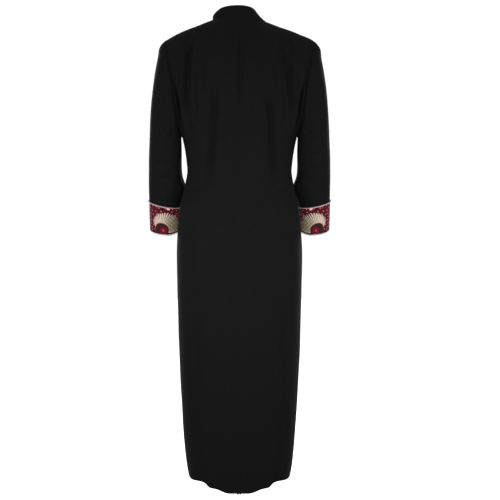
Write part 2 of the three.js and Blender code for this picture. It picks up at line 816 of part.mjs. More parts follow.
// Panels, sleeve and cuff of one side
function sidePieces(side, word, backFolds, frontFolds) {
  const back = foldedPanel(side, 1, [...backFolds, ...foldsCentreBack]);
  const front = foldedPanel(side, -1, frontFolds);
  shareEdgeNormals(back, front);
  const sleeve = sleeveGrid(side, back, front);
  copyCornerNormals(back, front);
  openSeams(back);
  openSeams(front);
  const left = side > 0;
  return [
    sheetMesh("back_" + word, back.rows, back.normals, bodyWall, clothBlack, left, false),
    sheetMesh("front_" + word, front.rows, front.normals, bodyWall, clothBlack, !left, false),
    sheetMesh("sleeve_" + word, sleeve.rows, sleeve.normals, bodyWall, clothBlack, !left, true),
    ...cuffPieces(side, word, sleeve.turns),
  ];
}

const abaya = new THREE.Group();
abaya.name = "abaya";
for (const piece of sidePieces(1, "left", foldsBackLeft, foldsFrontLeft)) abaya.add(piece);
for (const piece of sidePieces(-1, "right", foldsBackRight, foldsFrontRight)) abaya.add(piece);
abaya.add(collarPiece());

export default abaya;
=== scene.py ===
import math
import bmesh
import bpy
import numpy as np
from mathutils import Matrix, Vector, noise as cloudNoise
from mathutils.kdtree import KDTree


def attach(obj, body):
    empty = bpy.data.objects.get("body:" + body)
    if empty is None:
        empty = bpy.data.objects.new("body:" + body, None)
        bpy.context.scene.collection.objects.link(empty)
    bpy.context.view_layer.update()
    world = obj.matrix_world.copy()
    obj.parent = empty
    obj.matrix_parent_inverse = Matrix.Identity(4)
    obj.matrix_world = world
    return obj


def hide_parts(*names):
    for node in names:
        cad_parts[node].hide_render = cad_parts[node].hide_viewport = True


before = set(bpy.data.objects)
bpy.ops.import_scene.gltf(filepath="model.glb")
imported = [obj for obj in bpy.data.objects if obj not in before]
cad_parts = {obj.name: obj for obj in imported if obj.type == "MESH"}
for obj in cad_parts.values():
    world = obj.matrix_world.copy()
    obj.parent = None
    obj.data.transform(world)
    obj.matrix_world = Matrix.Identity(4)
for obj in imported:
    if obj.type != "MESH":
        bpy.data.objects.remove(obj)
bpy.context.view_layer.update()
millimetre = 0.001


# The camera stands level behind the garment, at half its height.

camera = {
    "place": (-0.0298, 3.1, -0.6498),
    "turn": (90, 0, 180),
    "lens": 78.7,
    "reach": 60,
}


def placeCamera(settings):
    data = bpy.data.cameras.new("camera")
    data.lens = settings["lens"]
    data.clip_end = settings["reach"]
    holder = bpy.data.objects.new("camera", data)
    holder.location = settings["place"]
    holder.rotation_euler = [math.radians(angle) for angle in settings["turn"]]
    bpy.context.scene.collection.objects.link(holder)
    bpy.context.scene.camera = holder


# A white floor and soft lights: two small ones behind the cuffs, a high and a low one further back, one
# at each side and two before. Places and sizes are in metres, and a spread is in degrees.

studio = {
    "floorHeight": -1.46,
    "floorSize": 30,
    "floorShade": 0.9,
    "floorRoughness": 0.9,
    "floorGlow": 0.9,
    "backdrop": 1.05,
    "skyLight": 0.48,
    "lights": {
        "key_left": {"place": (0.78, 1.0, -0.64), "size": (0.25, 0.4), "power": 1.12, "spread": 75},
        "key_right": {"place": (-0.78, 1.0, -0.64), "size": (0.25, 0.4), "power": 1.16, "spread": 75},
        "above_behind": {"place": (0.1, 2.4, 1.8), "size": (1.4, 1.0), "power": 16},
        "below_behind": {"place": (0.1, 2.4, -1.25), "size": (1.4, 0.3), "power": 17.5},
        "side_left": {"place": (2.8, 0.7, -0.3), "size": (0.8, 2.4), "power": 12.5},
        "side_right": {"place": (-2.8, 0.7, -0.3), "size": (0.8, 2.4), "power": 12.0},
        "front_left": {"place": (1.5, -2.3, -0.1), "size": (1.0, 1.4), "power": 30},
        "front_right": {"place": (-1.5, -2.3, -0.1), "size": (1.0, 1.4), "power": 30},
    },
    "aim": (0, 0, -0.62),
}
fullSpread = 180


def buildStudio(settings):
    world = bpy.data.worlds.new("world")
    bpy.context.scene.world = world
    world.use_nodes = True
    tree = world.node_tree
    tree.nodes.clear()
    output = tree.nodes.new("ShaderNodeOutputWorld")
    seen = tree.nodes.new("ShaderNodeBackground")
    lighting = tree.nodes.new("ShaderNodeBackground")
    choice = tree.nodes.new("ShaderNodeMixShader")
    ray = tree.nodes.new("ShaderNodeLightPath")
    seen.inputs["Strength"].default_value = settings["backdrop"]
    seen.inputs["Color"].default_value = (1, 1, 1, 1)
    lighting.inputs["Color"].default_value = (1, 1, 1, 1)
    lighting.inputs["Strength"].default_value = settings["skyLight"]
    tree.links.new(ray.outputs["Is Camera Ray"], choice.inputs[0])
    tree.links.new(lighting.outputs[0], choice.inputs[1])
    tree.links.new(seen.outputs[0], choice.inputs[2])
    tree.links.new(choice.outputs[0], output.inputs[0])

    floorMesh = bmesh.new()
    bmesh.ops.create_grid(floorMesh, x_segments=4, y_segments=4, size=settings["floorSize"] / 2)
    bmesh.ops.translate(floorMesh, verts=floorMesh.verts, vec=(0, 0, settings["floorHeight"]))
    data = bpy.data.meshes.new("floor")
    floorMesh.to_mesh(data)
    floorMesh.free()
    floor = bpy.data.objects.new("floor", data)
    bpy.context.scene.collection.objects.link(floor)
    material = bpy.data.materials.new("floor")
    material.use_nodes = True
    shader = material.node_tree.nodes["Principled BSDF"]
    shader.inputs["Base Color"].default_value = [settings["floorShade"]] * 3 + [1]
    shader.inputs["Roughness"].default_value = settings["floorRoughness"]
    shader.inputs["Emission Color"].default_value = (1, 1, 1, 1)
    shader.inputs["Emission Strength"].default_value = settings["floorGlow"]
    data.materials.append(material)
    floor.visible_diffuse = False
    floor.visible_glossy = False

    for name, light in settings["lights"].items():
        lamp = bpy.data.lights.new(name, "AREA")
        lamp.shape = "RECTANGLE"
        lamp.size, lamp.size_y = light["size"]
        lamp.energy = light["power"]
        lamp.spread = math.radians(light.get("spread", fullSpread))
        holder = bpy.data.objects.new(name, lamp)
        holder.location = light["place"]
        direction = Vector(settings["aim"]) - Vector(light["place"])
        holder.rotation_euler = direction.to_track_quat("-Z", "Y").to_euler()
        bpy.context.scene.collection.objects.link(holder)
    bpy.context.scene.view_settings.view_transform = "Standard"
    print("made the studio with", len(settings["lights"]), "lights")


# Node helpers, so that a material reads as a list of sums.

def setOrLink(tree, socket, value):
    if isinstance(value, bpy.types.NodeSocket):
        tree.links.new(value, socket)
    else:
        socket.default_value = value


def maths(tree):
    def run(operation, *values, clamp=False):
        node = tree.nodes.new("ShaderNodeMath")
        node.operation = operation
        node.use_clamp = clamp
        for socket, value in zip(node.inputs, values):
            setOrLink(tree, socket, value)
        return node.outputs[0]
    return run


def smoothStep(tree, value, low, high):
    node = tree.nodes.new("ShaderNodeMapRange")
    node.interpolation_type = "SMOOTHSTEP"
    setOrLink(tree, node.inputs["Value"], value)
    node.inputs["From Min"].default_value = low
    node.inputs["From Max"].default_value = high
    return node.outputs["Result"]


def blendColours(tree, share, first, second, mode="MIX"):
    node = tree.nodes.new("ShaderNodeMix")
    node.data_type = "RGBA"
    node.blend_type = mode
    setOrLink(tree, node.inputs["Factor"], share)
    setOrLink(tree, node.inputs["A"], first)
    setOrLink(tree, node.inputs["B"], second)
    return node.outputs["Result"]


def attributeValue(tree, name):
    node = tree.nodes.new("ShaderNodeAttribute")
    node.attribute_name = name
    return node.outputs["Fac"]


def objectPoint(tree, stretch=(1, 1, 1)):
    place = tree.nodes.new("ShaderNodeTexCoord")
    mapping = tree.nodes.new("ShaderNodeMapping")
    mapping.inputs["Scale"].default_value = stretch
    tree.links.new(place.outputs["Object"], mapping.inputs["Vector"])
    return mapping.outputs["Vector"]


def noise(tree, point, scale, detail=2, roughness=0.5):
    node = tree.nodes.new("ShaderNodeTexNoise")
    tree.links.new(point, node.inputs["Vector"])
    node.inputs["Scale"].default_value = scale
    node.inputs["Detail"].default_value = detail
    node.inputs["Roughness"].default_value = roughness
    return node.outputs["Fac"]


def bump(tree, height, distance, strength=1, onto=None):
    node = tree.nodes.new("ShaderNodeBump")
    node.inputs["Strength"].default_value = strength
    node.inputs["Distance"].default_value = distance
    tree.links.new(height, node.inputs["Height"])
    if onto is not None:
        tree.links.new(onto, node.inputs["Normal"])
    return node.outputs["Normal"]


def newMaterial(name, settings):
    material = bpy.data.materials.new(name)
    material.use_nodes = True
    shader = material.node_tree.nodes["Principled BSDF"]
    for socket, value in settings.items():
        shader.inputs[socket].default_value = value
    return material, material.node_tree, shader


# Black crepe: a fine uneven twill with a soft sheen, and a stitched line along each hem. A noise has its
# scale, detail and roughness, and a bump its distance and strength. Stitches are in millimetres.

blackCloth = {
    "surface": {
        "Specular IOR Level": 0.05,
        "Sheen Weight": 0.006,
        "Sheen Roughness": 0.5,
    },
    "dark": (0.0045, 0.0046, 0.0048, 1),
    "light": (0.0054, 0.0054, 0.0055, 1),
    "roughness": (0.76, 0.86),
    "thread": (900, 1, 0.5),
    "slub": (160, 3, 0.6),
    "slubStretch": (1, 1, 0.35),
    "slubShare": 0.85,
    "cloud": (9, 3, 0.5),
    "toneRange": (0.32, 0.68),
    "twillScale": 420,
    "twillWander": 1.5,
    "twillShare": 0.4,
    "rumple": (26, 2, 0.45),
    "hemTurn": 22,
    "frontTurn": 14,
    "grooveWidth": 1.3,
    "stitchLength": 2.8,
    "stitchWidth": (0.55, 0.2),
    "stitchEnd": (0.42, 0.36),
    "stitchHeight": 0.9,
    "rumpleBump": (0.0035, 0.2),
    "weaveBump": (0.00025, 0.6),
    "sewnBump": (0.0006, 0.7),
}


def blackMaterial(settings):
    material, tree, shader = newMaterial("black_cloth", settings["surface"])
    run = maths(tree)
    point = objectPoint(tree)
    tall = objectPoint(tree, settings["slubStretch"])
    slub = noise(tree, tall, *settings["slub"])
    thread = noise(tree, point, *settings["thread"])
    cloud = noise(tree, point, *settings["cloud"])
    share = settings["slubShare"]
    shade = run("ADD", run("MULTIPLY", slub, share), run("MULTIPLY", cloud, 1 - share))
    tone = smoothStep(tree, shade, *settings["toneRange"])
    colour = blendColours(tree, tone, settings["dark"], settings["light"])
    tree.links.new(colour, shader.inputs["Base Color"])
    low, high = settings["roughness"]
    gloss = run("ADD", low, run("MULTIPLY", slub, high - low))
    tree.links.new(gloss, shader.inputs["Roughness"])

    twill = tree.nodes.new("ShaderNodeTexWave")
    twill.bands_direction = "DIAGONAL"
    twill.inputs["Scale"].default_value = settings["twillScale"]
    twill.inputs["Distortion"].default_value = settings["twillWander"]
    tree.links.new(point, twill.inputs["Vector"])
    share = settings["twillShare"]
    weave = run("ADD", run("MULTIPLY", twill.outputs["Fac"], share), run("MULTIPLY", thread, 1 - share))
    rumple = noise(tree, tall, *settings["rumple"])

    sewn = 0.0
    for line, turn, along in (("from_hem", "hemTurn", "across"), ("from_front", "frontTurn", "height")):
        nearLine = run("ABSOLUTE", run("SUBTRACT", attributeValue(tree, line), settings[turn]))
        groove = smoothStep(tree, nearLine, 0, settings["grooveWidth"])
        place = run("FRACT", run("DIVIDE", attributeValue(tree, along), settings["stitchLength"]))
        dash = run("ABSOLUTE", run("SUBTRACT", place, 0.5))
        width = smoothStep(tree, nearLine, *settings["stitchWidth"])
        stitch = run("MULTIPLY", width, smoothStep(tree, dash, *settings["stitchEnd"]))
        sewn = run("ADD", sewn, run("ADD", groove, run("MULTIPLY", stitch, settings["stitchHeight"])))

    normal = bump(tree, rumple, *settings["rumpleBump"])
    normal = bump(tree, weave, *settings["weaveBump"], normal)
    normal = bump(tree, sewn, *settings["sewnBump"], normal)
    tree.links.new(normal, shader.inputs["Normal"])
    return material


# Brocade of the cuffs: a crimson ground with small pale buds, an open pleated fan and a rosette at its
# foot, once on each face of a cuff. Places are in millimetres: inward from the middle of a fan and up
# from the cuff's lower edge. outerEdge is a line that cuts the fan off: its slopes and its distance.
# A pair of places is where something fades in and where it is full, and softEdge is the width of most
# fades. A relief is a height before bump, and a share how strongly a colour covers what is under it.

brocade = {
    "surface": {
        "Specular IOR Level": 0.12,
        "Sheen Weight": 0.02,
        "Sheen Roughness": 0.4,
    },
    "maroon": (0.016, 0.0012, 0.003, 1),
    "crimson": (0.22, 0.004, 0.024, 1),
    "bud": (0.74, 0.27, 0.31, 1),
    "petal": (0.95, 0.66, 0.66, 1),
    "cream": (0.76, 0.67, 0.53, 1),
    "blush": (0.58, 0.33, 0.28, 1),
    # olive is partly the fan's own colour and partly painted shade, on the fan's inner side by the body
    "oliveAndShade": (0.62, 0.53, 0.36, 1),
    "brown": (0.036, 0.0085, 0.007, 1),
    "shadow": (0.010, 0.007, 0.004, 1),
    "softEdge": 0.8,
    "repeat": 146,
    "fanHeight": 12,
    "fanRadius": 50,
    "fanLean": 6,
    "fanDrop": 11,
    "outerEdge": (0.938, 0.346, -17.2),
    "lowerEdge": 6.2,
    "scallop": (9, 1.6),
    "pleats": 0.121,
    "tipDepth": 7,
    "tipEdge": 1.0,
    "tipBand": (20, 4),
    # shadedFrom: the turns in degrees where the painted shade on the fan starts and where it is full
    "shadedFrom": (104, 30),
    "droopFrom": (70, 135),
    "droopShare": 0.4,
    "valley": (0.85, 0.15),
    "valleyShare": 0.65,
    "valleyDeeper": 0.2,
    "hemBand": (2.6, 1.2),
    "hemShare": 0.8,
    "discRadius": 19,
    "discEdge": 0.6,
    "discFoot": (0.5, 1.5),
    "ringWidth": 7.2,
    "ringShare": (0.85, 0.6),
    "rosettePlace": (3.6, -1.2),
    "rosetteRadius": 11,
    "rosettePetals": 8,
    "petalDepth": 0.9,
    "glint": (0.32, 2, 0.5),
    "glintRange": (0.5, 0.62),
    "heart": (3.2, 1.0),
    "heartShare": 0.65,
    "rim": (2.4, 0.6),
    "rimShare": 0.5,
    "lowerBand": (6, 4.4),
    "budSpacing": 9.5,
    "budRadius": (0.18, 0.11),
    "budScatter": 0.75,
    "blotchSize": 6,
    "blotchRange": (0.46, 0.62),
    "latticeSpacing": 10.5,
    "latticeWidth": (0.2, 0.06),
    "latticeShare": 0.85,
    "petalPlace": (15.5, 72.5),
    "petalSize": (4.4, 3.2),
    "petalEdge": (1.1, 0.8),
    "petalTurn": -40,
    "seamWidth": 1.0,
    "threadScale": 0.5,
    "threadWander": 0.6,
    "fanRelief": (0.6, 0.8),
    "discRelief": 0.3,
    "figureRelief": 0.5,
    "figureBump": (0.0008, 0.8),
    "threadBump": (0.0002, 0.6),
    "roughness": 0.72,
    "fanGloss": 0.14,
}


def brocadeMaterial(settings):
    material, tree, shader = newMaterial("brocade", settings["surface"])
    run = maths(tree)
    around = attributeValue(tree, "around")
    up = attributeValue(tree, "up")
    half = settings["repeat"] / 2
    inward = run("MULTIPLY", run("WRAP", around, half, -half), -1)
    height = run("SUBTRACT", up, settings["fanHeight"])
    radius = lengthOf(run, inward, height)
    angle = run("ARCTAN2", height, inward)

    flat = tree.nodes.new("ShaderNodeCombineXYZ")
    tree.links.new(around, flat.inputs[0])
    tree.links.new(up, flat.inputs[1])
    point = flat.outputs[0]

    colour, budShare = brocadeGround(tree, run, point, up, settings)
    fan, fold, fanColour = brocadeFan(tree, run, inward, up, height, radius, angle, settings)
    colour = blendColours(tree, fan, colour, fanColour)
    discRadius, soft = settings["discRadius"], settings["discEdge"]
    disc = smoothStep(tree, radius, discRadius + soft, discRadius - soft)
    onCloth = smoothStep(tree, up, *settings["discFoot"])
    colour = blendColours(tree, run("MULTIPLY", disc, onCloth), colour, settings["brown"])
    rosette, rosetteColour = brocadeRosette(tree, run, point, inward, height, settings)
    colour = blendColours(tree, rosette, colour, rosetteColour)
    petal = brocadePetal(tree, run, inward, up, settings)
    colour = blendColours(tree, petal, colour, settings["petal"])
    seamWidth = settings["seamWidth"]
    seam = smoothStep(tree, attributeValue(tree, "from_seam"), seamWidth * 2, seamWidth)
    colour = blendColours(tree, seam, colour, settings["shadow"])
    tree.links.new(colour, shader.inputs["Base Color"])

    threads = tree.nodes.new("ShaderNodeTexWave")
    threads.bands_direction = "DIAGONAL"
    threads.inputs["Scale"].default_value = settings["threadScale"]
    threads.inputs["Distortion"].default_value = settings["threadWander"]
    tree.links.new(point, threads.inputs["Vector"])
    flatRelief, foldRelief = settings["fanRelief"]
    pleated = run("ADD", flatRelief, run("MULTIPLY", fold, foldRelief))
    raised = run("ADD", run("MULTIPLY", fan, pleated), run("MULTIPLY", disc, settings["discRelief"]))
    figures = run("ADD", rosette, run("ADD", budShare, petal))
    raised = run("ADD", raised, run("MULTIPLY", figures, settings["figureRelief"]))
    raised = run("SUBTRACT", raised, seam)
    normal = bump(tree, raised, *settings["figureBump"])
    normal = bump(tree, threads.outputs["Fac"], *settings["threadBump"], normal)
    tree.links.new(normal, shader.inputs["Normal"])
    gloss = run("SUBTRACT", settings["roughness"], run("MULTIPLY", fan, settings["fanGloss"]))
    tree.links.new(gloss, shader.inputs["Roughness"])
    return material


def lengthOf(run, first, second):
    return run("SQRT", run("ADD", run("MULTIPLY", first, first), run("MULTIPLY", second, second)))


def brocadeGround(tree, run, point, up, settings):
    blotch = noise(tree, point, 1 / settings["blotchSize"], 4, 0.6)
    share = smoothStep(tree, blotch, *settings["blotchRange"])
    colour = blendColours(tree, share, settings["maroon"], settings["crimson"])
    cells = tree.nodes.new("ShaderNodeTexVoronoi")
    cells.voronoi_dimensions = "2D"
    cells.inputs["Scale"].default_value = 1 / settings["budSpacing"]
    cells.inputs["Randomness"].default_value = settings["budScatter"]
    tree.links.new(point, cells.inputs["Vector"])
    budShare = smoothStep(tree, cells.outputs["Distance"], *settings["budRadius"])
    colour = blendColours(tree, budShare, colour, settings["bud"])
    band = smoothStep(tree, up, *settings["lowerBand"])
    return blendColours(tree, band, colour, settings["brown"]), budShare


def brocadeFan(tree, run, inward, up, height, radius, angle, settings):
    soft = settings["softEdge"]
    pleat = run("FRACT", run("DIVIDE", angle, settings["pleats"]))
    fold = run("SUBTRACT", 1, run("ABSOLUTE", run("SUBTRACT", run("MULTIPLY", pleat, 2), 1)))
    low = smoothStep(tree, angle, *[math.radians(turn) for turn in settings["droopFrom"]])
    tip = run("ADD", settings["fanRadius"], run("MULTIPLY", run("COSINE", angle), settings["fanLean"]))
    tip = run("SUBTRACT", tip, run("MULTIPLY", low, settings["fanDrop"]))
    reach = run("SUBTRACT", tip, run("MULTIPLY", run("SUBTRACT", 1, fold), settings["tipDepth"]))
    inside = smoothStep(tree, run("SUBTRACT", reach, radius), 0, settings["tipEdge"])
    across, upwards, limit = settings["outerEdge"]
    beyond = run("ADD", run("MULTIPLY", inward, across), run("MULTIPLY", height, upwards))
    outer = smoothStep(tree, beyond, limit, limit + soft)
    length, depth = settings["scallop"]
    wave = run("ABSOLUTE", run("SINE", run("MULTIPLY", inward, math.pi / length)))
    hemLine = run("SUBTRACT", up, run("SUBTRACT", settings["lowerEdge"], run("MULTIPLY", wave, depth)))
    lower = smoothStep(tree, hemLine, 0, soft)
    fan = run("MULTIPLY", run("MULTIPLY", inside, outer), lower)

    # Painted shade: towards its inner side, by the body, the fan turns from cream to a darker olive,
    # partly its own colour and partly painted shade, and its pleat valleys are painted darker there. The
    # lattice shows only on that side, and the blush ring is fainter there.
    shaded = smoothStep(tree, angle, *[math.radians(turn) for turn in settings["shadedFrom"]])
    colour = blendColours(tree, shaded, settings["cream"], settings["oliveAndShade"])
    size = settings["latticeSpacing"]
    lines = []
    for mode in ("ADD", "SUBTRACT"):
        place = run("FRACT", run("DIVIDE", run(mode, inward, up), size))
        fromLine = run("ABSOLUTE", run("SUBTRACT", place, 0.5))
        lines.append(smoothStep(tree, fromLine, *settings["latticeWidth"]))
    lattice = run("MULTIPLY", run("MAXIMUM", *lines), run("MULTIPLY", shaded, settings["latticeShare"]))
    colour = blendColours(tree, lattice, colour, settings["brown"])
    nearTip = smoothStep(tree, run("SUBTRACT", tip, radius), *settings["tipBand"])
    deeper = settings["valleyDeeper"]
    deep = run("ADD", settings["valleyShare"], run("MULTIPLY", nearTip, deeper))
    deep = run("ADD", deep, run("MULTIPLY", shaded, deeper))
    valley = run("MULTIPLY", smoothStep(tree, fold, *settings["valley"]), deep)
    colour = blendColours(tree, valley, colour, settings["brown"])
    discRadius = settings["discRadius"]
    ring = smoothStep(tree, radius, discRadius + settings["ringWidth"], discRadius)
    lit, less = settings["ringShare"]
    ring = run("MULTIPLY", ring, run("SUBTRACT", lit, run("MULTIPLY", shaded, less)))
    ring = run("MAXIMUM", ring, run("MULTIPLY", low, settings["droopShare"]))
    colour = blendColours(tree, ring, colour, settings["blush"])
    edge = run("MULTIPLY", smoothStep(tree, hemLine, *settings["hemBand"]), settings["hemShare"])
    colour = blendColours(tree, edge, colour, settings["cream"])
    return fan, fold, colour


def brocadeRosette(tree, run, point, inward, height, settings):
    right, above = settings["rosettePlace"]
    sideways = run("SUBTRACT", inward, right)
    lifted = run("SUBTRACT", height, above)
    radius = lengthOf(run, sideways, lifted)
    petals = run("COSINE", run("MULTIPLY", run("ARCTAN2", lifted, sideways), settings["rosettePetals"]))
    outline = run("ADD", settings["rosetteRadius"], run("MULTIPLY", petals, settings["petalDepth"]))
    edge = run("SUBTRACT", outline, radius)
    share = smoothStep(tree, edge, 0, settings["softEdge"])
    glints = smoothStep(tree, noise(tree, point, *settings["glint"]), *settings["glintRange"])
    colour = blendColours(tree, glints, settings["crimson"], settings["maroon"])
    centre = run("MULTIPLY", smoothStep(tree, radius, *settings["heart"]), settings["heartShare"])
    colour = blendColours(tree, centre, colour, settings["bud"])
    rim = run("MULTIPLY", smoothStep(tree, edge, *settings["rim"]), settings["rimShare"])
    return share, blendColours(tree, rim, colour, settings["maroon"])


def brocadePetal(tree, run, inward, up, settings):
    right, above = settings["petalPlace"]
    turn = math.radians(settings["petalTurn"])
    sideways = run("SUBTRACT", inward, right)
    lifted = run("SUBTRACT", up, above)
    level, steep = math.cos(turn), math.sin(turn)
    along = run("ADD", run("MULTIPLY", sideways, level), run("MULTIPLY", lifted, steep))
    across = run("SUBTRACT", run("MULTIPLY", lifted, level), run("MULTIPLY", sideways, steep))
    long, wide = settings["petalSize"]
    size = lengthOf(run, run("DIVIDE", along, long), run("DIVIDE", across, wide))
    return smoothStep(tree, size, *settings["petalEdge"])


# Piping: a smooth satin cord, pale pink cream.

pipingCord = {
    "surface": {
        "Specular IOR Level": 0.25,
        "Roughness": 0.5,
        "Sheen Weight": 0.05,
    },
    "dark": (0.40, 0.27, 0.24, 1),
    "light": (0.62, 0.46, 0.42, 1),
    "patch": (90, 3, 0.6),
    "toneRange": (0.3, 0.7),
    "twistScale": 260,
    "twistBump": (0.0002, 0.5),
}


def pipingMaterial(settings):
    material, tree, shader = newMaterial("piping", settings["surface"])
    point = objectPoint(tree)
    tone = smoothStep(tree, noise(tree, point, *settings["patch"]), *settings["toneRange"])
    colour = blendColours(tree, tone, settings["dark"], settings["light"])
    tree.links.new(colour, shader.inputs["Base Color"])
    twist = tree.nodes.new("ShaderNodeTexWave")
    twist.bands_direction = "DIAGONAL"
    twist.inputs["Scale"].default_value = settings["twistScale"]
    tree.links.new(point, twist.inputs["Vector"])
    tree.links.new(bump(tree, twist.outputs["Fac"], *settings["twistBump"]), shader.inputs["Normal"])
    return material


# Creases are soft troughs along a path of x and z in millimetres, on the back or the front. depth is how
# far the cloth goes in, spread the trough's half width, and ridge the share by which it stands out beside
# it, ridgePlace spreads away. A crease fades over the first and last 1 / creaseFade of its path.

